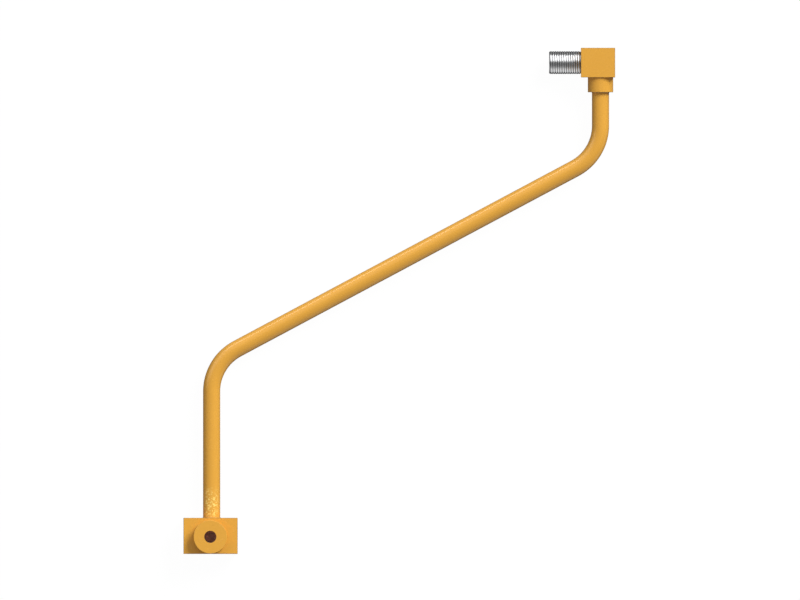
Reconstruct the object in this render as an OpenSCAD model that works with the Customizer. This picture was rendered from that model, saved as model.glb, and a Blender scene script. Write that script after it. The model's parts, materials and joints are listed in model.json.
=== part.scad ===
// Bent tube assembly: a tube bent twice in one plane joins a port block to a
// right-angle block with a threaded nipple. It lies on the back faces of its blocks.
// X runs across the straight legs, Y along them and Z from the back to the front.
// The origin is where the port's axis meets the back face.

/* [Tube] */
// Outside diameter of the tube
tube_od = 9.525; // [8:0.005:11]
// Wall thickness of the tube
tube_wall = 1.24; // [0.8:0.02:1.8]
// Centreline radius of both bends
bend_r = 27; // [20:0.5:36]
// Diameter that the tube loses where the bending former gripped it
bend_shrink = 0.04; // [0.03:0.01:0.1]
// Slope of the long run, measured from level
run_slope = 28.1; // [20:0.1:40]
// Distance between the axes of the two legs
leg_spacing = 216.6; // [160:0.1:260]
// Height of the lower bend's corner above the port block
lower_leg = 86.6; // [60:0.1:120]
// Height of the collar above the upper bend's corner
upper_leg = 34.8; // [28:0.1:60]

/* [Blocks] */
// Depth of both blocks, with the tube at the middle of it
block_depth = 16.5; // [15.5:0.1:20]
// Flat that breaks each edge of the blocks, the boss and the collar
edge_break = 0.1; // [0.05:0.01:0.15]
// Included angle of the points that the blind drillings end in
drill_point = 118; // [90:1:140]

/* [Port block] */
// Width of the port block
port_block_w = 30.15; // [26:0.05:36]
// Height of the port block
port_block_h = 20.1; // [20:0.1:24]
// Distance of the port's axis below the block's middle
port_drop = 0.55; // [0:0.05:0.6]
// Distance of the port's axis to the left of the block's middle
port_side = 0.15; // [0:0.05:0.3]
// Distance of the tube's axis to the right of the port's axis
tube_offset = 0.75; // [0:0.05:0.8]
// Diameter of the boss
boss_d = 18.6; // [14:0.1:18.7]
// Height of the boss above the block's front face
boss_h = 7; // [4:0.5:12]
// Diameter of the port
port_d = 6.7; // [6.6:0.1:8]
// Depth that the port goes past the tube's axis
port_past = 3; // [2:0.25:4]
// Diameter of the riser from the port to the tube
port_riser_d = 5; // [4:0.1:5.2]
// Depth of the tube's socket in the port block
port_socket = 6; // [4:0.25:6]

/* [Elbow block] */
// Width of the elbow block
elbow_w = 19.05; // [18:0.05:24]
// Height of the elbow block
elbow_h = 16.5; // [15.5:0.1:20]
// Distance from the tube's axis to the block's outer side
elbow_side = 8.15; // [7.6:0.05:9]
// Diameter of the collar
collar_d = 14.1; // [13:0.05:15]
// Length of the collar
collar_l = 8.25; // [6:0.05:12]
// Depth of the tube's socket in the collar
collar_socket = 10; // [6:0.25:10]
// Diameter of the riser from the tube to the cross drilling
elbow_riser_d = 6; // [5:0.1:6.2]
// Diameter of the cross drilling
cross_d = 6.6; // [6.4:0.1:6.8]
// Depth that the cross drilling goes past the tube's axis
cross_past = 3.6; // [3.2:0.1:4]

/* [Nipple] */
// Major diameter of the nipple's thread
thread_d = 12.7; // [12.4:0.05:14]
// Length of the nipple outside the elbow block
nipple_l = 17.7; // [12:0.1:24]
// Diameter of the nipple's bore
nipple_bore = 7; // [6:0.1:7.4]
// Diameter of the plain neck between the thread and the block
neck_d = 12; // [10.6:0.05:12.2]
// Length of the plain neck
neck_l = 0.25; // [0.2:0.05:1.5]
// Diameter of the spigot that seats in the elbow block
spigot_d = 9.6; // [9:0.05:10]
// Length of the spigot
spigot_l = 5; // [3:0.25:6]
// Flat that breaks the outer end of the thread
thread_break = 0.5; // [0.2:0.05:0.8]

/* [Braze] */
// Gap all round a tube or spigot in its socket
braze_gap = 0.05; // [0.02:0.01:0.1]
// Height and width of each braze fillet
braze_leg = 0.5; // [0.4:0.05:1.2]

/* [Hidden] */
$fn = 96;
paint = "#E1A746";
bare_metal = "#B8BABD";

// Each cut runs this far past the face that it opens
overrun = 1;
// Steps along the hollow of a braze fillet, and its centre's distance in fillet legs
fillet_steps = 6;
fillet_hollow = 2;

axis_z = block_depth / 2;
port_top = port_block_h / 2 + port_drop;
port_mid = port_drop;
port_face = block_depth + boss_h;

// The two bends turn the tube through the same angle, and run a little way into the straights
bend_angle = 90 - run_slope;
bend_tangent = bend_r * tan(bend_angle / 2);
bend_lap = 0.4;
lap_angle = atan(bend_lap / bend_r);
run_length = leg_spacing / cos(run_slope) - 2 * bend_tangent;

lower_x = tube_offset;
lower_corner = port_top + lower_leg;
upper_x = lower_x + leg_spacing;
upper_corner = lower_corner + leg_spacing * tan(run_slope);

collar_y = upper_corner + upper_leg;
elbow_bottom = collar_y + collar_l;
nipple_y = elbow_bottom + elbow_h / 2;
elbow_right = upper_x + elbow_side;
elbow_left = elbow_right - elbow_w;

socket_d = tube_od + 2 * braze_gap;
spigot_seat_d = spigot_d + 2 * braze_gap;

// Turns a shape's Z axis into +Y
module along_y() {
    rotate([-90, 0, 0]) children();
}

// Turns a shape's Z axis into -X
module along_left() {
    rotate([0, -90, 0]) children();
}

// Rectangle with its four corners cut off at 45 degrees
module broken_rectangle(w, h) {
    x = w / 2;
    y = h / 2;
    polygon([
        [x - edge_break, -y], [x, edge_break - y], [x, y - edge_break], [x - edge_break, y],
        [edge_break - x, y], [-x, y - edge_break], [-x, edge_break - y], [edge_break - x, -y]
    ]);
}

// Block with all its edges broken, centred on the origin
module broken_block(w, h, depth) {
    intersection() {
        linear_extrude(depth, center = true) broken_rectangle(w, h);
        rotate([90, 0, 0]) linear_extrude(h, center = true) broken_rectangle(w, depth);
        rotate([0, 90, 0]) linear_extrude(w, center = true) broken_rectangle(depth, h);
    }
}

// Turned stub with its far edge broken, along +Z from the origin
module turned_stub(d, length) {
    r = d / 2;
    rotate_extrude() polygon([
        [0, 0], [r, 0], [r, length - edge_break], [r - edge_break, length], [0, length]
    ]);
}

// Blind drilling along +Z from the origin, with the drill's point beyond its full depth
module drilling(d, depth) {
    cylinder(d = d, h = depth);
    translate([0, 0, depth]) cylinder(d1 = d, d2 = 0, h = d / 2 / tan(drill_point / 2));
}

// Tube's path as a solid rod of diameter d, both ends lengthened by past
module tube_rod(d, past) {
    lower_end = port_top - port_socket - past;
    lower_bend = lower_corner - bend_tangent;
    upper_bend = upper_corner + bend_tangent;
    upper_end = collar_y + collar_socket + past;
    translate([lower_x, lower_end, axis_z]) along_y() cylinder(d = d, h = lower_bend - lower_end);
    translate([lower_x + bend_r, lower_bend, axis_z]) rotate(90 + run_slope) bend(d);
    translate([lower_x, lower_corner, axis_z]) rotate(-bend_angle) translate([0, bend_tangent, 0])
        along_y() cylinder(d = d, h = run_length);
    translate([upper_x - bend_r, upper_bend, axis_z]) rotate(-bend_angle) bend(d);
    translate([upper_x, upper_bend, axis_z]) along_y() cylinder(d = d, h = upper_end - upper_bend);
}

// One bend of a rod of diameter d, turning counter-clockwise from the X axis
module bend(d) {
    rotate(-lap_angle) rotate_extrude(angle = bend_angle + 2 * lap_angle)
        translate([bend_r, 0]) circle(d = d - bend_shrink);
}

// Ring of braze metal on a tube that leaves a face along +Z, hollowed like a fillet
module braze_ring() {
    hollow_at = fillet_hollow * braze_leg;
    hollow_r = norm([hollow_at, hollow_at - braze_leg]);
    contact = atan((hollow_at - braze_leg) / hollow_at);
    start = 180 + contact;
    sweep = 90 - 2 * contact;
    hollow = [
        for (i = [0 : fillet_steps])
            let (a = start + sweep * i / fillet_steps)
            [tube_od / 2 + hollow_at + hollow_r * cos(a), hollow_at + hollow_r * sin(a)]
    ];
    rotate_extrude() polygon(concat([[tube_od / 2, 0]], hollow));
}

// The tube, hollow from end to end
module bent_tube() {
    color(paint) difference() {
        tube_rod(tube_od, 0);
        tube_rod(tube_od - 2 * tube_wall, overrun);
    }
}

// The lower block, with its boss, port, riser and tube socket
module port_block() {
    port_depth = port_face - axis_z + port_past;
    color(paint) difference() {
        union() {
            translate([port_side, port_mid, axis_z]) broken_block(port_block_w, port_block_h, block_depth);
            translate([0, 0, axis_z]) turned_stub(boss_d, port_face - axis_z);
        }
        translate([0, 0, port_face + overrun])
            mirror([0, 0, 1]) drilling(port_d, port_depth + overrun);
        translate([0, 0, port_face - edge_break])
            cylinder(d1 = port_d, d2 = port_d + 4 * edge_break, h = 2 * edge_break);
        translate([lower_x, port_top - port_socket, axis_z])
            along_y() cylinder(d = socket_d, h = port_socket + overrun);
        translate([lower_x, 0, axis_z]) along_y() cylinder(d = port_riser_d, h = port_top);
    }
}

// The upper block, with its collar, tube socket, riser, cross drilling and spigot seat
module elbow_block() {
    cross_depth = upper_x - elbow_left + cross_past;
    color(paint) difference() {
        union() {
            translate([elbow_right - elbow_w / 2, nipple_y, axis_z])
                broken_block(elbow_w, elbow_h, block_depth);
            translate([upper_x, nipple_y, axis_z])
                mirror([0, 1, 0]) along_y() turned_stub(collar_d, nipple_y - collar_y);
        }
        translate([upper_x, collar_y - overrun, axis_z])
            along_y() cylinder(d = socket_d, h = collar_socket + overrun);
        translate([upper_x, collar_y, axis_z])
            along_y() cylinder(d = elbow_riser_d, h = nipple_y - collar_y);
        translate([elbow_left, nipple_y, axis_z])
            mirror([1, 0, 0]) along_left() drilling(cross_d, cross_depth);
        translate([elbow_left + spigot_l, nipple_y, axis_z])
            along_left() cylinder(d = spigot_seat_d, h = spigot_l + overrun);
    }
}

// The nipple, turned in one piece: spigot, neck and body of the thread's major diameter
module threaded_nipple() {
    bore_r = nipple_bore / 2;
    spigot_r = spigot_d / 2;
    neck_r = neck_d / 2;
    thread_r = thread_d / 2;
    color(bare_metal) translate([elbow_left, nipple_y, axis_z]) along_left() rotate_extrude() polygon([
        [bore_r, -spigot_l], [spigot_r, -spigot_l], [spigot_r, 0],
        [neck_r, 0], [neck_r, neck_l], [thread_r, neck_l + thread_r - neck_r],
        [thread_r, nipple_l - thread_break], [thread_r - thread_break, nipple_l],
        [bore_r + edge_break, nipple_l], [bore_r, nipple_l - edge_break]
    ]);
}

// Braze metal where the tube enters the port block
module port_braze_ring() {
    color(paint) translate([lower_x, port_top, axis_z]) along_y() braze_ring();
}

// Braze metal where the tube enters the collar
module collar_braze_ring() {
    color(paint) translate([upper_x, collar_y, axis_z]) mirror([0, 1, 0]) along_y() braze_ring();
}

bent_tube();
port_block();
elbow_block();
threaded_nipple();
port_braze_ring();
collar_braze_ring();
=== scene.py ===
# %% [markdown]
# # A bent tube with a port block and a threaded nipple
#
# This lesson dresses a steel fluid line: a tube bent twice, a port block brazed to its lower end,
# and an elbow block with a bare threaded nipple at its upper end. The solids come in as a fixed
# frame. Each visible piece is then modelled again with softened edges, a true thread and a finish.

# %% Load the frame
import bpy
import json
import math
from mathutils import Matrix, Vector


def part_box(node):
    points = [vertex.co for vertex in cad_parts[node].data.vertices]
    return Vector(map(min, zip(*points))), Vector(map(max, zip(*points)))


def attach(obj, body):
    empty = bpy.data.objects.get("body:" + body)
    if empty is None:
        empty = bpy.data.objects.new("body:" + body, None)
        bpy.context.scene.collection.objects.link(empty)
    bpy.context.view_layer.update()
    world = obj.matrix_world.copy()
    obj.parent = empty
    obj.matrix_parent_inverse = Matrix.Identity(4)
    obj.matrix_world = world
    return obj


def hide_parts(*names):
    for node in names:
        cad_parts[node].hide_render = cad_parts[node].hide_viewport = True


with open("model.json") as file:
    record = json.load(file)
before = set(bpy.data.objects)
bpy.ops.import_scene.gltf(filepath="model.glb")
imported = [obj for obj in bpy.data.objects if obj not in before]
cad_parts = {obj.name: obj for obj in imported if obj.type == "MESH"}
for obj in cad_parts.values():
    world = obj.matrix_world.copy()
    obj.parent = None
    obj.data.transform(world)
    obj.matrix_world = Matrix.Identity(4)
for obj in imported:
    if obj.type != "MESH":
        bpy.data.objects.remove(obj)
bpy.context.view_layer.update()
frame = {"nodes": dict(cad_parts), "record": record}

print("nodes:", sorted(frame["nodes"]))

# %% [markdown]
# ## Sizes and places
#
# Blender works in metres here, so a millimetre gets a name of its own. The places could be typed in
# again, but they are taken from the boxes of the solids, so the new pieces land exactly on them.

# %% Sizes and places
MM = 0.001
TUBE_OD = 9.525 * MM

mounts = {m["name"]: m for m in frame["record"]["mounts"]}
tube_lo, tube_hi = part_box("bent_tube")
port_lo, port_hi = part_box("port_block")
elbow_lo, elbow_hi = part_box("elbow_block")
nipple_lo, nipple_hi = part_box("threaded_nipple")

block_depth = elbow_hi.z
axis_z = block_depth / 2
lower_x = tube_lo.x + TUBE_OD / 2
upper_x = tube_hi.x - TUBE_OD / 2
port_top = port_hi.y
port_face = port_hi.z
collar_y = elbow_lo.y
nipple_y = (nipple_lo.y + nipple_hi.y) / 2
print("legs at x = %.1f and %.1f mm" % (lower_x / MM, upper_x / MM))

# %% [markdown]
# ## Camera
#
# The picture has no perspective, so the camera is orthographic. The part lies on its back, and the
# camera looks straight down on it. One pixel is a known length, and the port's middle has a known
# pixel, so the camera's place follows from the two.

# %% Camera
IMAGE_W, IMAGE_H = 800, 600
PIXEL = 0.557 * MM
PORT_PIXEL_X, PORT_PIXEL_Y = 210.28, 536.87
CAMERA_HEIGHT = 1.0

camera_data = bpy.data.cameras.new("Camera")
camera_data.type = "ORTHO"
camera_data.ortho_scale = IMAGE_W * PIXEL
camera = bpy.data.objects.new("Camera", camera_data)
bpy.context.scene.collection.objects.link(camera)
camera.location = (
    (IMAGE_W / 2 - PORT_PIXEL_X) * PIXEL,
    (PORT_PIXEL_Y - IMAGE_H / 2) * PIXEL,
    CAMERA_HEIGHT,
)
bpy.context.scene.camera = camera
print("camera over x = %.1f, y = %.1f mm" % (camera.location.x / MM, camera.location.y / MM))

# %% [markdown]
# ## Working on one piece
#
# An operator acts on whatever is selected, and the solids of the frame are still selected. So every
# step first selects one piece and nothing else. A finished piece has its place in its mesh, with no
# double points and with its faces turned outwards.

# %% Working on one piece
WELD = 0.0005 * MM


def only(piece):
    """Leaves this piece selected and active in object mode, and nothing else."""
    active = bpy.context.view_layer.objects.active
    if active and active.mode != "OBJECT":
        bpy.ops.object.mode_set(mode="OBJECT")
    bpy.ops.object.select_all(action="DESELECT")
    if piece:
        piece.select_set(True)
    bpy.context.view_layer.objects.active = piece


def new_piece(name):
    """Names the primitive that was just added, and starts editing it with all of it selected."""
    piece = bpy.context.object
    piece.name = name
    piece.data.name = name
    bpy.ops.object.mode_set(mode="EDIT")
    bpy.ops.mesh.select_all(action="SELECT")
    return piece


def settle(piece):
    """Puts the piece's place into its mesh, merges doubles and turns the faces outwards."""
    only(piece)
    bpy.ops.object.transform_apply(location=True, rotation=True, scale=True)
    bpy.ops.object.mode_set(mode="EDIT")
    bpy.ops.mesh.select_all(action="SELECT")
    bpy.ops.mesh.remove_doubles(threshold=WELD)
    bpy.ops.mesh.normals_make_consistent(inside=False)
    bpy.ops.object.mode_set(mode="OBJECT")
    return piece


print("points closer than %.4f mm are merged" % (WELD / MM))

# %% [markdown]
# ## Modifiers and booleans
#
# Drilled and joined shapes could be cut by hand, face by face. Booleans do it from closed cutters,
# as a drill would. They may leave a sliver open, which is filled. Smooth shading alone would make a
# flat face look like a pillow next to its softened edges, so the normals are weighted by face area.

# %% Modifiers and booleans
SMOOTH_ANGLE = 32
SLIVER_SIDES = 4


def modify(piece, kind, **settings):
    """Adds a modifier with these settings and applies it."""
    only(piece)
    modifier = piece.modifiers.new(kind.title(), kind)
    for key, value in settings.items():
        setattr(modifier, key, value)
    bpy.ops.object.modifier_apply(modifier=modifier.name)
    return piece


def combine(piece, tool, operation):
    """Joins, cuts or keeps by a second closed piece, which is then deleted."""
    modify(piece, "BOOLEAN", operation=operation, solver="EXACT", object=tool)
    bpy.data.objects.remove(tool, do_unlink=True)
    return piece


def mend(piece):
    """Closes the slivers that a boolean may leave open."""
    only(piece)
    bpy.ops.object.mode_set(mode="EDIT")
    bpy.ops.mesh.select_all(action="SELECT")
    bpy.ops.mesh.fill_holes(sides=SLIVER_SIDES)
    bpy.ops.object.mode_set(mode="OBJECT")
    return settle(piece)


def smooth(piece, degrees=SMOOTH_ANGLE):
    """Shades smooth across edges that are flatter than this, and keeps large faces flat."""
    only(piece)
    bpy.ops.object.shade_smooth_by_angle(angle=math.radians(degrees))
    return modify(piece, "WEIGHTED_NORMAL", keep_sharp=True)


print("edges under", SMOOTH_ANGLE, "degrees are shaded smooth")

# %% [markdown]
# ## Turning on a lathe
#
# The boss, the collar, the nipple's blank and all the drills are turned shapes. A cylinder could be
# bevelled for each, but one point extruded along an outline and spun round the Z axis gives any
# turned shape at once. The result is then laid along the axis that it needs. A drill that meets
# another turned face has fewer sides than it, so a boolean never has to deal with two equal edges.

# %% Turning on a lathe
TURNED_STEPS = 96
DRILL_STEPS = 94
CORNER_STEPS = 4
ALONG_X = (0, math.pi / 2, 0)
AGAINST_X = (0, -math.pi / 2, 0)
ALONG_Y = (-math.pi / 2, 0, 0)
AGAINST_Y = (math.pi / 2, 0, 0)
AGAINST_Z = (math.pi, 0, 0)


def softened(outline, radius, steps=CORNER_STEPS):
    """The outline with a short curve, which starts radius away, in place of each inner corner."""
    points = [Vector(p) for p in outline]
    out = [points[0]]
    for before, corner, after in zip(points, points[1:], points[2:]):
        start = corner + (before - corner).normalized() * min(radius, (before - corner).length / 2)
        end = corner + (after - corner).normalized() * min(radius, (after - corner).length / 2)
        for i in range(steps + 1):
            t = i / steps
            out.append(start * (1 - t) ** 2 + corner * (2 * t * (1 - t)) + end * t**2)
    return out + [points[-1]]


def draw_outline(name, outline, lift=0.0):
    """A row of edges through (radius, height) points, raised by lift, still being edited."""
    only(None)
    bpy.ops.mesh.primitive_plane_add(size=MM, location=(0, 0, 0))
    piece = new_piece(name)
    bpy.ops.mesh.merge(type="CENTER")
    bpy.ops.transform.translate(value=(outline[0][0], 0, outline[0][1] + lift))
    for a, b in zip(outline, outline[1:]):
        step = (b[0] - a[0], 0, b[1] - a[1])
        bpy.ops.mesh.extrude_vertices_move(TRANSFORM_OT_translate={"value": step})
    return piece


def turned(name, outline, place, turn=(0, 0, 0), steps=TURNED_STEPS):
    """Spins an outline of (radius, height) points round the Z axis, then turns and moves it."""
    piece = draw_outline(name, outline)
    bpy.ops.mesh.select_all(action="SELECT")
    bpy.ops.mesh.spin(steps=steps, angle=math.tau, center=(0, 0, 0), axis=(0, 0, 1))
    bpy.ops.object.mode_set(mode="OBJECT")
    piece.location = place
    piece.rotation_euler = turn
    return settle(piece)


print("turned pieces have", TURNED_STEPS, "sides, drills", DRILL_STEPS)

# %% [markdown]
# ## The tube
#
# A bent tube is a circle that is pushed straight, swung round the middle of a bend, pushed straight
# again and swung back. A curve with a round bevel could follow the same path. Extrude and spin do to
# a ring of edges what a bending machine does, so the bends are true arcs. Solidify then gives the
# skin its wall, inwards.

# %% The tube
TUBE_WALL = 1.24 * MM
TUBE_SIDES = 72
BEND_R = 27.0 * MM
BEND_STEPS = 28
RUN_SLOPE = math.radians(28.1)
LOWER_LEG = 86.6 * MM

bend_angle = math.pi / 2 - RUN_SLOPE
bend_tangent = BEND_R * math.tan(bend_angle / 2)
run = Vector((math.cos(RUN_SLOPE), math.sin(RUN_SLOPE), 0))
run_length = (upper_x - lower_x) / math.cos(RUN_SLOPE) - 2 * bend_tangent
lower_corner = port_top + LOWER_LEG
upper_corner = lower_corner + (upper_x - lower_x) * math.tan(RUN_SLOPE)
lower_bend = lower_corner - bend_tangent
upper_bend = upper_corner + bend_tangent


def push(step):
    """Extrudes the selected ring of edges by this much."""
    bpy.ops.mesh.extrude_region_move(TRANSFORM_OT_translate={"value": step})


def swing(angle, centre):
    """Spins the selected ring of edges round a point of the tube's plane."""
    bpy.ops.mesh.spin(steps=BEND_STEPS, angle=angle, center=centre, axis=(0, 0, 1))


only(None)
bpy.ops.mesh.primitive_circle_add(
    vertices=TUBE_SIDES,
    radius=TUBE_OD / 2,
    location=(lower_x, tube_lo.y, axis_z),
    rotation=ALONG_Y,
)
tube = new_piece("Painted_tube")
push((0, lower_bend - tube_lo.y, 0))
swing(bend_angle, (lower_x + BEND_R, lower_bend, axis_z))
push(run * run_length)
swing(-bend_angle, (upper_x - BEND_R, upper_bend, axis_z))
push((0, tube_hi.y - upper_bend, 0))
bpy.ops.object.mode_set(mode="OBJECT")
settle(tube)
modify(tube, "SOLIDIFY", thickness=TUBE_WALL, offset=-1)
smooth(tube)
print("tube:", len(tube.data.polygons), "faces, box", [round(v / MM, 1) for v in tube.dimensions])

# %% [markdown]
# ## Milled blocks and drills
#
# Both end blocks start as a milled bar with its sharp edges taken off, and both are drilled. A cube
# with bevelled edges stands for the bar. A drill leaves a cone at the bottom of its hole, and a
# stepped drill leaves a wide seat above a narrow hole, so the cutters are turned to those shapes.

# %% Milled blocks and drills
EDGE = 0.22 * MM
EDGE_SEGMENTS = 3
OVERRUN = 1.0 * MM
DRILL_HALF_ANGLE = math.radians(59)


def block(name, lo, hi):
    """A cube between two corners with its edges softened."""
    only(None)
    bpy.ops.mesh.primitive_cube_add(size=1, location=(lo + hi) / 2)
    piece = new_piece(name)
    bpy.ops.transform.resize(value=hi - lo)
    bpy.ops.mesh.bevel(offset=EDGE, offset_type="OFFSET", segments=EDGE_SEGMENTS, affect="EDGES")
    bpy.ops.object.mode_set(mode="OBJECT")
    return settle(piece)


def drill(radius, depth, place, turn, mouth):
    """A cutter for a blind hole with a broken mouth, from place down the turned Z axis."""
    tip = depth + radius / math.tan(DRILL_HALF_ANGLE)
    wide = radius + mouth + OVERRUN
    outline = [(0, -OVERRUN), (wide, -OVERRUN), (radius, mouth), (radius, depth), (0, tip)]
    return turned("Drill", outline, place, turn, DRILL_STEPS)


def stepped_drill(wide, wide_depth, narrow, narrow_depth, place, turn, steps=TURNED_STEPS):
    """A cutter for a hole with a wide flat-bottomed mouth and a narrow blind end."""
    tip = narrow_depth + narrow / math.tan(DRILL_HALF_ANGLE)
    outline = [(0, -OVERRUN), (wide, -OVERRUN), (wide, wide_depth)]
    outline += [(narrow, wide_depth), (narrow, narrow_depth), (0, tip)]
    return turned("Stepped_drill", outline, place, turn, steps)


print("edges are softened by %.2f mm" % (EDGE / MM))

# %% [markdown]
# ## The port block
#
# The lower block is a milled rectangle with a turned boss on its front. The boss could be inset and
# extruded from the block's face, but a spun one is truly round. It is joined to the block, and then
# the port is drilled from the front, and the tube's socket and riser from the top.

# %% The port block
BOSS_D = 18.6 * MM
MOUTH = 0.12 * MM
SOCKET_GAP = 0.05 * MM
PORT_RISER_D = 5.0 * MM

port_r = mounts["port"]["dims"]["r_mm"] * MM
port_depth = mounts["port"]["dims"]["length_mm"] * MM + MOUTH
port_socket = port_top - tube_lo.y
socket_r = TUBE_OD / 2 + SOCKET_GAP
socket_mouth = (lower_x, port_top, axis_z)
port_corner = Vector((port_hi.x, port_hi.y, block_depth))

port_block = block("Painted_port_block", port_lo, port_corner)
boss_height = port_face - axis_z
boss_edge = softened([(BOSS_D / 2, 0), (BOSS_D / 2, boss_height), (0, boss_height)], EDGE)
boss = turned("Boss", [(0, 0)] + boss_edge, (0, 0, axis_z))
combine(port_block, boss, "UNION")
combine(port_block, drill(port_r, port_depth, (0, 0, port_face), AGAINST_Z, MOUTH), "DIFFERENCE")
tube_hole = stepped_drill(socket_r, port_socket, PORT_RISER_D / 2, port_top, socket_mouth, AGAINST_Y)
combine(port_block, tube_hole, "DIFFERENCE")
mend(settle(port_block))
smooth(port_block)
print("port block:", len(port_block.data.polygons), "faces")

# %% [markdown]
# ## The elbow block
#
# The upper block is a length of square bar. A collar is turned below it for the tube's end, and two
# drillings meet inside it, so fluid turns the corner from the tube into the nipple. It is made as the
# port block is, with a stepped drill from below and one from the left.

# %% The elbow block
COLLAR_D = 14.1 * MM
COLLAR_L = 8.25 * MM
ELBOW_RISER_D = 6.0 * MM
CROSS_D = 6.6 * MM
CROSS_PAST = 3.6 * MM
SPIGOT_D = 9.6 * MM
SPIGOT_L = 5.0 * MM

elbow_corner = Vector((elbow_lo.x, collar_y + COLLAR_L, 0))
collar_mouth = (upper_x, collar_y, axis_z)
collar_socket = tube_hi.y - collar_y
riser_depth = nipple_y - collar_y
nipple_seat = (elbow_lo.x, nipple_y, axis_z)
cross_depth = upper_x - elbow_lo.x + CROSS_PAST
seat_r = SPIGOT_D / 2 + SOCKET_GAP

elbow_block = block("Painted_elbow_block", elbow_corner, elbow_hi)
collar_edge = softened([(COLLAR_D / 2, 0), (COLLAR_D / 2, riser_depth), (0, riser_depth)], EDGE)
collar = turned("Collar", [(0, 0)] + collar_edge, (upper_x, nipple_y, axis_z), AGAINST_Y)
combine(elbow_block, collar, "UNION")
tube_hole = stepped_drill(socket_r, collar_socket, ELBOW_RISER_D / 2, riser_depth, collar_mouth, ALONG_Y)
cross_hole = stepped_drill(seat_r, SPIGOT_L, CROSS_D / 2, cross_depth, nipple_seat, ALONG_X, DRILL_STEPS)
combine(elbow_block, tube_hole, "DIFFERENCE")
combine(elbow_block, cross_hole, "DIFFERENCE")
mend(settle(elbow_block))
smooth(elbow_block)
print("elbow block:", len(elbow_block.data.polygons), "faces")

# %% [markdown]
# ## A threaded rod
#
# A thread is one tooth's outline carried round a helix. Rings would look alike from afar, but they
# don't climb. The Screw modifier climbs by one pitch a turn, so neighbouring turns share their edges.
# The rod is made a few turns too long and cut flat at both ends by bisect.

# %% A threaded rod
PITCH = 1.27 * MM
THREAD_DEPTH = 0.22 * MM
CREST = 0.25
ROOT = 0.25
TOOTH_SOFT = 0.05 * MM
TOOTH_STEPS = 3
THREAD_STEPS = 64
SPARE_TURNS = 2

thread_r = mounts["nipple_thread"]["dims"]["r_mm"] * MM


def threaded_rod(length):
    """A threaded rod along Z that starts at the origin, with flat ends."""
    flank = PITCH * (1 - CREST - ROOT) / 2
    root_r = thread_r - THREAD_DEPTH
    tooth = [
        (root_r, 0),
        (root_r, PITCH * ROOT),
        (thread_r, PITCH * ROOT + flank),
        (thread_r, PITCH - flank),
        (root_r, PITCH),
    ]
    rod = draw_outline("Rod", softened(tooth, TOOTH_SOFT, TOOTH_STEPS), -SPARE_TURNS * PITCH)
    bpy.ops.object.mode_set(mode="OBJECT")
    modify(
        rod,
        "SCREW",
        axis="Z",
        screw_offset=PITCH,
        iterations=math.ceil(length / PITCH) + 2 * SPARE_TURNS,
        steps=THREAD_STEPS,
        render_steps=THREAD_STEPS,
    )
    settle(rod)
    bpy.ops.object.mode_set(mode="EDIT")
    for height, outwards in ((0, -1), (length, 1)):
        bpy.ops.mesh.select_all(action="SELECT")
        bpy.ops.mesh.bisect(
            plane_co=(0, 0, height), plane_no=(0, 0, outwards), use_fill=True, clear_outer=True
        )
    bpy.ops.object.mode_set(mode="OBJECT")
    return settle(rod)


print("thread: pitch %.2f mm on a radius of %.2f mm" % (PITCH / MM, thread_r / MM))

# %% [markdown]
# ## The threaded nipple
#
# The nipple is turned from bar, bored, threaded, and pressed by its spigot into the elbow block. A
# blank is spun with its spigot, neck, broken end and bore. The threaded rod is then kept only where
# the blank is, so the thread runs out at the neck and at the end as a cut one does.

# %% The threaded nipple
NECK_D = 12.0 * MM
NECK_L = 0.25 * MM
THREAD_BREAK = 0.5 * MM
BLANK_ROOM = 0.01 * MM
ROD_PHASE = math.radians(1.3)
NIPPLE_SMOOTH_ANGLE = 40

bore_r = mounts["nipple_bore"]["dims"]["r_mm"] * MM
nipple_l = elbow_lo.x - nipple_lo.x
blank_outline = [
    (bore_r, -SPIGOT_L),
    (SPIGOT_D / 2, -SPIGOT_L),
    (SPIGOT_D / 2, 0),
    (NECK_D / 2, 0),
    (NECK_D / 2, NECK_L),
    (thread_r + BLANK_ROOM, NECK_L + thread_r - NECK_D / 2),
    (thread_r + BLANK_ROOM, nipple_l - THREAD_BREAK),
    (thread_r - THREAD_BREAK, nipple_l),
    (bore_r + MOUTH, nipple_l),
    (bore_r, nipple_l - MOUTH),
    (bore_r, -SPIGOT_L),
]
blank = turned("Blank", blank_outline, (0, 0, 0))
nipple = threaded_rod(nipple_l + SPIGOT_L + 2 * OVERRUN)
nipple.location.z = -SPIGOT_L - OVERRUN
nipple.rotation_euler.z = ROD_PHASE
settle(nipple)
combine(nipple, blank, "INTERSECT")
nipple.name = "Threaded_nipple"
nipple.data.name = nipple.name
nipple.location = nipple_seat
nipple.rotation_euler = AGAINST_X
mend(settle(nipple))
smooth(nipple, NIPPLE_SMOOTH_ANGLE)
print("nipple:", len(nipple.data.polygons), "faces, box", [round(v / MM, 2) for v in nipple.dimensions])

# %% [markdown]
# ## The braze fillets
#
# Braze metal runs into the corner between the tube and a face, and hollows as it cools. A bevel on
# the joint would be flat, so the outline is a small corner with a curved long side, spun round the
# tube. It bites a little into the tube, so no gap shows.

# %% The braze fillets
BRAZE_LEG = 0.5 * MM
BRAZE_BITE = 0.02 * MM
BRAZE_HOLLOW = 0.25
BRAZE_STEPS = 8


def braze_fillet(name, place, turn):
    """A hollow fillet round the tube on a face at place."""
    r = TUBE_OD / 2
    dip = BRAZE_HOLLOW * BRAZE_LEG
    hollow = softened([(r + BRAZE_LEG, 0), (r + dip, dip), (r, BRAZE_LEG)], BRAZE_LEG, BRAZE_STEPS)
    outline = hollow + [(r - BRAZE_BITE, BRAZE_LEG), (r - BRAZE_BITE, 0), hollow[0]]
    return smooth(turned(name, outline, place, turn))


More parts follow.
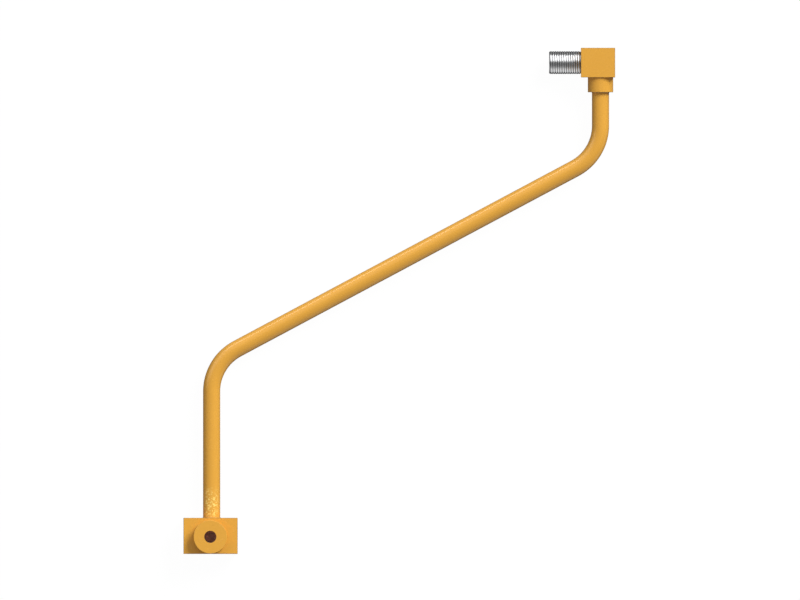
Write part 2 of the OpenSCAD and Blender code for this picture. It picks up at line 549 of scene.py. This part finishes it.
port_fillet = braze_fillet("Port_braze_fillet", socket_mouth, ALONG_Y)
collar_fillet = braze_fillet("Collar_braze_fillet", collar_mouth, AGAINST_Y)
print("fillets:", port_fillet.name, collar_fillet.name)

# %% [markdown]
# ## Steps of a node tree
#
# Every finish, and the studio's light too, is a chain of small nodes. A node can be added and linked
# by hand each time. A few helpers that add one step each keep the chains short to read. They take an
# output of another node or a plain number alike.

# %% Steps of a node tree
RANGE_SOCKETS = ("From Min", "From Max", "To Min", "To Max")


def add_node(tree, kind, **settings):
    """Adds a node of this kind to a tree, with these settings."""
    step = tree.nodes.new(kind)
    for key, value in settings.items():
        setattr(step, key, value)
    return step


def feed(tree, value, socket):
    """Links an output to an input, or sets the input where the value is a number or a colour."""
    if isinstance(value, bpy.types.NodeSocket):
        tree.links.new(value, socket)
    else:
        socket.default_value = value


def maths(tree, operation, *values):
    """One step of arithmetic on outputs and numbers."""
    step = add_node(tree, "ShaderNodeMath", operation=operation)
    for value, socket in zip(values, step.inputs):
        feed(tree, value, socket)
    return step.outputs["Value"]


def times(tree, a, b):
    """Product of two values."""
    return maths(tree, "MULTIPLY", a, b)


def remap(tree, value, limits, results=(0, 1), course="SMOOTHSTEP"):
    """Carries a value from one range to another, smoothly unless another course is given."""
    step = add_node(tree, "ShaderNodeMapRange", interpolation_type=course)
    for name, number in zip(RANGE_SOCKETS, (*limits, *results)):
        step.inputs[name].default_value = number
    feed(tree, value, step.inputs["Value"])
    return step.outputs["Result"]


def split_axes(tree, vector):
    """The X, Y and Z of a vector."""
    step = add_node(tree, "ShaderNodeSeparateXYZ")
    feed(tree, vector, step.inputs["Vector"])
    return [step.outputs[axis] for axis in "XYZ"]


print("a range is set by", RANGE_SOCKETS)

# %% [markdown]
# ## Materials, patterns and colours
#
# No real surface has one even colour. Two colours mixed by a noise give most of what a finish needs.
# A pattern could follow a piece's unwrapped surface, but these finishes have no direction on it, so
# the noise reads the place on the piece itself and runs on across every edge.

# %% Materials, patterns and colours
NOISE_DETAIL = 2.0


def new_material(name):
    """A material with its node tree and its Principled shader."""
    material = bpy.data.materials.new(name)
    material.use_nodes = True
    return material, material.node_tree, material.node_tree.nodes["Principled BSDF"]


def place_on_piece(tree):
    """The place on the piece, in metres."""
    return add_node(tree, "ShaderNodeTexCoord").outputs["Object"]


def mix(tree, mask, under, over):
    """Lays one colour over another by a mask."""
    step = add_node(tree, "ShaderNodeMix", data_type="RGBA")
    feed(tree, mask, step.inputs["Factor"])
    feed(tree, under, step.inputs["A"])
    feed(tree, over, step.inputs["B"])
    return step.outputs["Result"]


def noise(tree, position, scale, detail=NOISE_DETAIL):
    """Noise over a position, finer with a larger scale."""
    step = add_node(tree, "ShaderNodeTexNoise")
    step.inputs["Scale"].default_value = scale
    step.inputs["Detail"].default_value = detail
    feed(tree, position, step.inputs["Vector"])
    return step.outputs["Fac"]


print("noise has a detail of", NOISE_DETAIL, "unless a finish says more")

# %% [markdown]
# ## Two shared effects
#
# Sprayed paint is never quite even: its tone and gloss drift slowly, and its skin has a fine orange
# peel. Along sharp edges a darker colour, broken up by noise, is painted on as shade. Several finishes
# need both, so each effect is a node group that is built once and placed in a material with its own
# values.

# %% Two shared effects
FILM_NOISES = (("Tone", 70, 3), ("Gloss", 260, 2), ("Peel", 2000, 2))
EDGE_SHADE_SCALE, EDGE_SHADE_DETAIL = 600, 3
EDGE_SHADE_LIMITS = (0.35, 0.6)
EDGE_SHADE_RESULTS = (0.45, 1.0)


def new_group(name, inputs, outputs):
    """A node group with these sockets, its start and its end."""
    group = bpy.data.node_groups.new(name, "ShaderNodeTree")
    for socket, kind in inputs:
        group.interface.new_socket(socket, in_out="INPUT", socket_type=kind)
    for socket in outputs:
        group.interface.new_socket(socket, in_out="OUTPUT", socket_type="NodeSocketFloat")
    return group, add_node(group, "NodeGroupInput"), add_node(group, "NodeGroupOutput")


film, start, end = new_group("Paint film", [("Position", "NodeSocketVector")], ["Tone", "Gloss", "Peel"])
for output, scale, detail in FILM_NOISES:
    feed(film, noise(film, start.outputs["Position"], scale, detail), end.inputs[output])

edge_shade_inputs = [("Position", "NodeSocketVector"), ("Amount", "NodeSocketFloat")]
edge_shade_group, start, end = new_group("Edge shade group", edge_shade_inputs, ["Wear"])
grain = noise(edge_shade_group, start.outputs["Position"], EDGE_SHADE_SCALE, EDGE_SHADE_DETAIL)
broken_shade = remap(edge_shade_group, grain, EDGE_SHADE_LIMITS, EDGE_SHADE_RESULTS)
feed(edge_shade_group, times(edge_shade_group, broken_shade, start.outputs["Amount"]), end.inputs["Wear"])
print("node groups:", film.name, "and", edge_shade_group.name)

# %% [markdown]
# ## The paint
#
# The whole part but the nipple is sprayed with one glossy ochre film over steel. The plain paint takes
# all three outputs of the film group. A second colour can be laid over it by a mask, and the mask may
# lift the surface too, so painted shade on edges and painted glints are the same paint with one step
# more.

# %% The paint
PAINT_DEEP = (0.705, 0.349, 0.0445, 1)
PAINT_LIGHT = (0.735, 0.367, 0.0485, 1)
PAINT_ROUGHNESS = (0.2, 0.32)
PEEL_STRENGTH = 0.2
PEEL_HEIGHT = 0.02 * MM


def paint_material(name, patches=None, patch_colour=None, patch_lift=0.0):
    """Glossy ochre paint; patches is a function that adds a mask for a second colour."""
    material, tree, shader = new_material(name)
    position = place_on_piece(tree)
    group = add_node(tree, "ShaderNodeGroup", node_tree=film)
    feed(tree, position, group.inputs["Position"])
    colour = mix(tree, group.outputs["Tone"], PAINT_DEEP, PAINT_LIGHT)
    height = group.outputs["Peel"]
    if patches:
        mask = patches(tree, position)
        colour = mix(tree, mask, colour, patch_colour)
        height = maths(tree, "MULTIPLY_ADD", mask, patch_lift, height)
    feed(tree, colour, shader.inputs["Base Color"])
    gloss = remap(tree, group.outputs["Gloss"], (0, 1), PAINT_ROUGHNESS, "LINEAR")
    feed(tree, gloss, shader.inputs["Roughness"])
    bump = add_node(tree, "ShaderNodeBump")
    bump.inputs["Strength"].default_value = PEEL_STRENGTH
    bump.inputs["Distance"].default_value = PEEL_HEIGHT
    feed(tree, height, bump.inputs["Height"])
    feed(tree, bump.outputs["Normal"], shader.inputs["Normal"])
    return material


paint = paint_material("Ochre paint")
print("finish:", paint.name)

# %% [markdown]
# ## Painted shade on edges and in fillets
#
# Along the blocks' edges, on the collar's rim and in the braze fillets a darker colour is painted on
# as shade. A mask from the mesh's own sharpness could find the edges, but the export would have to
# bake it. Here the edge faces get a material of their own, and the shade group breaks up its darker
# colour.

# %% Painted shade on edges and in fillets
# The darker colour below is painted shade along the blocks' edges, on the collar's rim and in the braze
# fillets.
PAINTED_EDGE_SHADE = (0.30, 0.155, 0.04, 1)
EDGE_SHADE_AMOUNT = 1.0
FILLET_SHADE_AMOUNT = 0.4


def place_edge_shade(amount):
    """A function that places the edge shade group in a material with this amount, and gives its mask of
    painted shade.
    """

    def place(tree, position):
        group = add_node(tree, "ShaderNodeGroup", node_tree=edge_shade_group)
        group.inputs["Amount"].default_value = amount
        feed(tree, position, group.inputs["Position"])
        return group.outputs["Wear"]

    return place


edge_shaded_paint = paint_material("Ochre paint with painted edge shade", place_edge_shade(EDGE_SHADE_AMOUNT), PAINTED_EDGE_SHADE)
fillet_shaded_paint = paint_material("Ochre paint with painted fillet shade", place_edge_shade(FILLET_SHADE_AMOUNT), PAINTED_EDGE_SHADE)
print("finishes:", edge_shaded_paint.name, "/", fillet_shaded_paint.name)

# %% [markdown]
# ## Painted glints above the port block
#
# On the front of the tube, just above the port block, light bounced off the block's top face shows
# as pale specks, painted on here as highlights. The specks could be modelled one by one, but they are
# far smaller than a millimetre, so a mask of noise, faded out on every side, colours them and lifts them
# as bumps.

# %% Painted glints above the port block
# The pale colour below is a painted highlight of light bounced off the port block's top face.
PAINTED_GLINT_COLOUR = (1.0, 0.74, 0.21, 1)
SPECK_SCALE, SPECK_DETAIL = 1050, 3
SPECK_LIMITS = (0.5, 0.63)
SPECK_RESULTS = (0.08, 1.0)
SPECK_LIFT = 25.0
SPECKS_TOP = (port_top + 19 * MM, port_top + 10 * MM)
SPECKS_FOOT = (port_top - 1 * MM, port_top + 4 * MM)
SPECKS_FRONT = (axis_z + 1 * MM, axis_z + 3.4 * MM)
SPECKS_LEFT = (lower_x - 5.2 * MM, lower_x - 2.4 * MM)
SPECKS_RIGHT = (lower_x + 4.6 * MM, lower_x + 0.6 * MM)
SHARE_AT_FOOT = 0.3
SHARE_AT_RIGHT = 0.2


def painted_bounce_glints(tree, position):
    """Mask of painted highlights: pale specks of bounced light on the front of the tube, above the port
    block.
    """
    x, y, z = split_axes(tree, position)
    mask = remap(tree, noise(tree, position, SPECK_SCALE, SPECK_DETAIL), SPECK_LIMITS, SPECK_RESULTS)
    fades = (
        remap(tree, y, SPECKS_TOP),
        remap(tree, y, SPECKS_FOOT, (SHARE_AT_FOOT, 1)),
        remap(tree, z, SPECKS_FRONT),
        remap(tree, x, SPECKS_LEFT),
        remap(tree, x, SPECKS_RIGHT, (SHARE_AT_RIGHT, 1)),
    )
    for fade in fades:
        mask = times(tree, mask, fade)
    return mask


# The tube's paint carries the painted highlights above the port block.
tube_glint_paint = paint_material("Ochre paint with painted glints", painted_bounce_glints, PAINTED_GLINT_COLOUR, SPECK_LIFT)
print("finish:", tube_glint_paint.name)

# %% [markdown]
# ## Bare steel
#
# The nipple is left unpainted. Turned steel is bright on its crests and has fine marks round its axis;
# its grooves and neck, where shade falls, are painted darker as shade. Painting these by hand would
# need an unwrapped thread. The distance from the nipple's axis tells crest from groove just as well,
# and noise that is squeezed along the axis gives the marks.

# %% Bare steel
STEEL_CREST = (0.88, 0.89, 0.90, 1)
# The dark root colour below is painted shade in the thread's grooves and at its neck.
STEEL_ROOT_SHADE = (0.27, 0.27, 0.275, 1)
STEEL_ROUGHNESS = (0.18, 0.30)
CREST_SHARE = 0.15
MARK_SCALE = (9000, 300, 300)


def vector_step(tree, operation, a, b=(0, 0, 0)):
    """One step of vector arithmetic, as a node."""
    step = add_node(tree, "ShaderNodeVectorMath", operation=operation)
    feed(tree, a, step.inputs[0])
    feed(tree, b, step.inputs[1])
    return step


def steel_material(name):
    """Bare turned steel with painted shade in its grooves, and fine marks round its axis."""
    material, tree, shader = new_material(name)
    position = place_on_piece(tree)
    shader.inputs["Metallic"].default_value = 1.0
    arm = vector_step(tree, "SUBTRACT", position, (0, nipple_y, axis_z)).outputs["Vector"]
    across = vector_step(tree, "MULTIPLY", arm, (0, 1, 1)).outputs["Vector"]
    radius = vector_step(tree, "LENGTH", across).outputs["Value"]
    # Below the crests the colour darkens into painted shade.
    crest = remap(tree, radius, (thread_r - THREAD_DEPTH, thread_r - CREST_SHARE * THREAD_DEPTH))
    feed(tree, mix(tree, crest, STEEL_ROOT_SHADE, STEEL_CREST), shader.inputs["Base Color"])
    stretch = add_node(tree, "ShaderNodeMapping")
    stretch.inputs["Scale"].default_value = MARK_SCALE
    feed(tree, position, stretch.inputs["Vector"])
    marks = noise(tree, stretch.outputs["Vector"], 1.0)
    feed(tree, remap(tree, marks, (0, 1), STEEL_ROUGHNESS), shader.inputs["Roughness"])
    return material


bare_steel = steel_material("Bare steel")
print("finish:", bare_steel.name)

# %% [markdown]
# ## The drilled port
#
# Spray reaches only the first few millimetres of a deep hole. Below that the drilled steel has gone
# brown. Two materials would meet in a hard line, so one material does both: it fades from paint at
# the mouth to brown steel by the depth.

# %% The drilled port
BROWN_DEEP = (0.86, 0.62, 0.56, 1)
BROWN_LIGHT = (0.95, 0.70, 0.64, 1)
BROWN_SCALE = 500
BROWN_ROUGHNESS = 0.6
PAINT_STOPS = port_face - 5.0 * MM
PAINT_WHOLE = port_face - 2.0 * MM


def bore_material(name):
    """Drilled steel that has gone brown, with paint on the first few millimetres of its wall."""
    material, tree, shader = new_material(name)
    position = place_on_piece(tree)
    z = split_axes(tree, position)[2]
    brown = mix(tree, noise(tree, position, BROWN_SCALE), BROWN_DEEP, BROWN_LIGHT)
    painted = remap(tree, z, (PAINT_STOPS, PAINT_WHOLE))
    feed(tree, mix(tree, painted, brown, PAINT_DEEP), shader.inputs["Base Color"])
    shader.inputs["Roughness"].default_value = BROWN_ROUGHNESS
    return material


bore_steel = bore_material("Drilled steel")
print("finish:", bore_steel.name)

# %% [markdown]
# ## Faces by their place
#
# Some faces need another finish than the rest of their piece: those in the port, and those on the
# softened edges of a block and on the collar's rim, which get painted shade. Picking them by hand
# would do, but a test by place still holds when a size changes.

# %% Faces by their place
NEAR_EDGE = 1.05 * EDGE
NEAR_PORT = 0.05 * MM


def in_port(point):
    """True for a point on the port's wall or bottom."""
    return math.hypot(point.x, point.y) < port_r + NEAR_PORT


def on_edge(lo, hi):
    """A test for points that lie close to two sides of a box at once."""

    def test(point):
        sides = [min(abs(p - a), abs(p - b)) < NEAR_EDGE for p, a, b in zip(point, lo, hi)]
        return sum(sides) >= 2

    return test


def on_collar_rim(point):
    """True for a point on the softened rim of the collar."""
    out = math.hypot(point.x - upper_x, point.z - axis_z) > COLLAR_D / 2 - NEAR_EDGE
    return out and point.y < collar_y + NEAR_EDGE


print("an edge reaches %.3f mm into a face" % (NEAR_EDGE / MM))

# %% [markdown]
# ## Dress the pieces
#
# A piece first gets its main finish all over. The faces that a test picks then get a second material
# slot. A separate mesh for each finish would show gaps, so the piece stays in one.

# %% Dress the pieces


def dress(piece, material):
    """Gives the whole piece one material."""
    piece.data.materials.clear()
    piece.data.materials.append(material)


def dress_where(piece, material, test):
    """Gives a second material to the faces whose middle and corners all pass a test."""
    if material.name not in piece.data.materials:
        piece.data.materials.append(material)
    corners = piece.data.vertices
    for face in piece.data.polygons:
        if test(face.center) and all(test(corners[i].co) for i in face.vertices):
            face.material_index = piece.data.materials.find(material.name)


main_finishes = (
    (tube, tube_glint_paint),
    (port_block, paint),
    (elbow_block, paint),
    (nipple, bare_steel),
    (port_fillet, fillet_shaded_paint),
    (collar_fillet, fillet_shaded_paint),
)
for piece, material in main_finishes:
    dress(piece, material)
dress_where(port_block, bore_steel, in_port)
# The blocks' softened edges and the collar's rim get paint with painted shade.
dress_where(port_block, edge_shaded_paint, on_edge(port_lo, port_corner))
dress_where(elbow_block, edge_shaded_paint, on_edge(elbow_corner, elbow_hi))
dress_where(elbow_block, edge_shaded_paint, on_collar_rim)
print("port block:", [m.name for m in port_block.data.materials])

# %% [markdown]
# ## The floor
#
# The part lies on a plain white floor that fills the picture, as on a light table. A white surface
# under a lamp would take the lamp's shade, so the floor glows by itself. It is left out of reflections
# and sends no light to the part, so the studio alone lights it.

# %% The floor
FLOOR_SIZE = 20.0
FLOOR_GREY = (0.03, 0.03, 0.03, 1)
FLOOR_GLOW = 0.975
FLOOR_ROUGHNESS = 0.9

only(None)
bpy.ops.mesh.primitive_plane_add(size=FLOOR_SIZE, location=(0, 0, 0))
floor = bpy.context.object
floor.name = "Floor"
floor.visible_diffuse = False
floor.visible_glossy = False
floor.visible_shadow = False
floor_material, _, shader = new_material("White floor")
shader.inputs["Base Color"].default_value = FLOOR_GREY
shader.inputs["Roughness"].default_value = FLOOR_ROUGHNESS
shader.inputs["Specular IOR Level"].default_value = 0.0
shader.inputs["Emission Color"].default_value = (1, 1, 1, 1)
shader.inputs["Emission Strength"].default_value = FLOOR_GLOW
floor.data.materials.append(floor_material)
print("floor:", FLOOR_SIZE, "m wide")

# %% [markdown]
# ## The key light
#
# One soft light from the upper right casts the shadow beside the boss. A sun lamp with a wide angle
# gives the same light all along the part. The bare nipple would mirror the lamp as a hard spot, and
# the tube as a yellow band, so both are left out of reflections.

# %% The key light
KEY_FROM = Vector((0.82, 0.90, 1.0))
KEY_STRENGTH = 2.93
KEY_ANGLE = math.radians(28)

key_data = bpy.data.lights.new("Key", "SUN")
key_data.energy = KEY_STRENGTH
key_data.angle = KEY_ANGLE
key = bpy.data.objects.new("Key", key_data)
bpy.context.scene.collection.objects.link(key)
key.rotation_euler = KEY_FROM.to_track_quat("Z", "Y").to_euler()
key.visible_glossy = False
tube.visible_glossy = False
print("key from", [round(v, 2) for v in KEY_FROM.normalized()])

# %% [markdown]
# ## The sky by direction
#
# The rest of the light comes from the sky round the part, which is drawn like a material. What a
# material does by place, a sky does by direction: how far right, how far up the picture, how far
# towards the camera. An image of a real studio could be used, but a drawn one is easy to change.

# %% The sky by direction
world = bpy.data.worlds.new("Studio")
world.use_nodes = True
bpy.context.scene.world = world
sky = world.node_tree
direction = add_node(sky, "ShaderNodeTexCoord").outputs["Generated"]
right, up, front = split_axes(sky, direction)
height = maths(sky, "ARCTAN2", up, front)
side = maths(sky, "ABSOLUTE", right)


def plus(a, b):
    """Sum of two values of the sky."""
    return maths(sky, "ADD", a, b)


def band(value, low, high, soft):
    """1 between low and high, fading to 0 over soft on either side."""
    return times(sky, remap(sky, value, (low - soft, low)), remap(sky, value, (high + soft, high)))


print("sky:", world.name)

# %% [markdown]
# ## What the part reflects
#
# Bare metal shows the room round it: a large panel above the part, dimmer in two bands beside its
# middle, a narrow bright strip that gives the sloping run its highlight, a weaker panel below, a grey
# room, and a darker place where the camera is. Real lamps with panels would do the same, but a drawn
# sky has no edges to hide and is quick to render.

# %% What the part reflects
PANEL = 1.0
PANEL_MORE = 1.0
PANEL_FOOT = (math.radians(3), math.radians(42))
PANEL_HEAD = (math.radians(102), math.radians(52))
PANEL_SIDES = (1.0, 0.95)
PANEL_DIM = (0.22, 0.5, 0.12)
STRIP = 4.9
STRIP_HEIGHT = (0.16, 0.32, 0.06)
STRIP_WIDTH = (-0.52, -0.2, 0.15)
STRIP_UP = (0.4, 0.6)
LOW_PANEL = 0.62
LOW_PANEL_HEAD = (math.radians(-44), math.radians(-86))
LOW_PANEL_FOOT = (math.radians(-142), math.radians(-120))
ROOM = 0.23
CAMERA_SIDE = 0.125
CAMERA_PLACE = (0.97, 0.8)
UNDER_TILT = 0.3
UNDER_FADE = (-0.95, -0.5)

panel = times(sky, remap(sky, height, PANEL_FOOT), remap(sky, height, PANEL_HEAD))
panel = times(sky, panel, remap(sky, side, PANEL_SIDES))
bright = times(sky, panel, remap(sky, band(side, *PANEL_DIM), (1, 0)))
strip = times(sky, band(front, *STRIP_HEIGHT), band(right, *STRIP_WIDTH))
strip = times(sky, strip, remap(sky, up, STRIP_UP))
low_panel = times(sky, remap(sky, height, LOW_PANEL_HEAD), remap(sky, height, LOW_PANEL_FOOT))
room = remap(sky, front, CAMERA_PLACE, (CAMERA_SIDE, ROOM))
behind = plus(front, times(sky, up, UNDER_TILT))
mirrored = times(sky, room, remap(sky, behind, UNDER_FADE))
lights = ((panel, PANEL), (bright, PANEL_MORE), (strip, STRIP), (low_panel, LOW_PANEL))
for shape, power in lights:
    mirrored = plus(mirrored, times(sky, shape, power))
print("reflected: panel %.1f, strip %.1f, low panel %.2f" % (PANEL + PANEL_MORE, STRIP, LOW_PANEL))

# %% [markdown]
# ## Soft light from the room
#
# Paint scatters light from all round, so only the slow changes of the sky matter to it: more from
# above, less from the sides, a little more from two corners. A sum of six terms says this better than
# lamps would. A ray that leaves a glossy surface sees the drawn studio instead.

# %% Soft light from the room
AMBIENT = 0.46
AMBIENT_UP = 0.28
AMBIENT_RIGHT = -0.06
AMBIENT_ENDS = 0.38
AMBIENT_CORNERS = 0.25
AMBIENT_TOP = 0.08

terms = (
    (up, 1.0, AMBIENT_UP),
    (right, 1.0, AMBIENT_RIGHT),
    (up, up, AMBIENT_ENDS),
    (right, right, -AMBIENT_ENDS),
    (up, right, AMBIENT_CORNERS),
    (front, front, AMBIENT_TOP),
)
total = AMBIENT
for a, b, weight in terms:
    total = plus(times(sky, times(sky, a, b), weight), total)
ambient = add_node(sky, "ShaderNodeClamp")
feed(sky, total, ambient.inputs["Value"])

ray = add_node(sky, "ShaderNodeLightPath")
strength = add_node(sky, "ShaderNodeMix")
feed(sky, ray.outputs["Is Glossy Ray"], strength.inputs["Factor"])
feed(sky, ambient.outputs["Result"], strength.inputs["A"])
feed(sky, mirrored, strength.inputs["B"])
background = sky.nodes["Background"]
feed(sky, strength.outputs["Result"], background.inputs["Strength"])
background.inputs["Color"].default_value = (1, 1, 1, 1)
bpy.context.scene.view_settings.view_transform = "Standard"
print("sky:", len(sky.nodes), "nodes")

# %% [markdown]
# ## Hand the pieces to the frame
#
# Every piece rides on the part's one body, because nothing on it moves. It stands for its solid,
# which is then hidden.

# %% Hand the pieces to the frame
dressed = (
    (tube, "bent_tube", "yellow_paint"),
    (port_block, "port_block", "yellow_paint"),
    (elbow_block, "elbow_block", "yellow_paint"),
    (nipple, "threaded_nipple", "bare_steel"),
    (port_fillet, "port_braze_ring", "yellow_paint"),
    (collar_fillet, "collar_braze_ring", "yellow_paint"),
)
for piece, node, slot in dressed:
    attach(piece, "root")
    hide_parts(node)
    print(piece.name, "stands for", node)
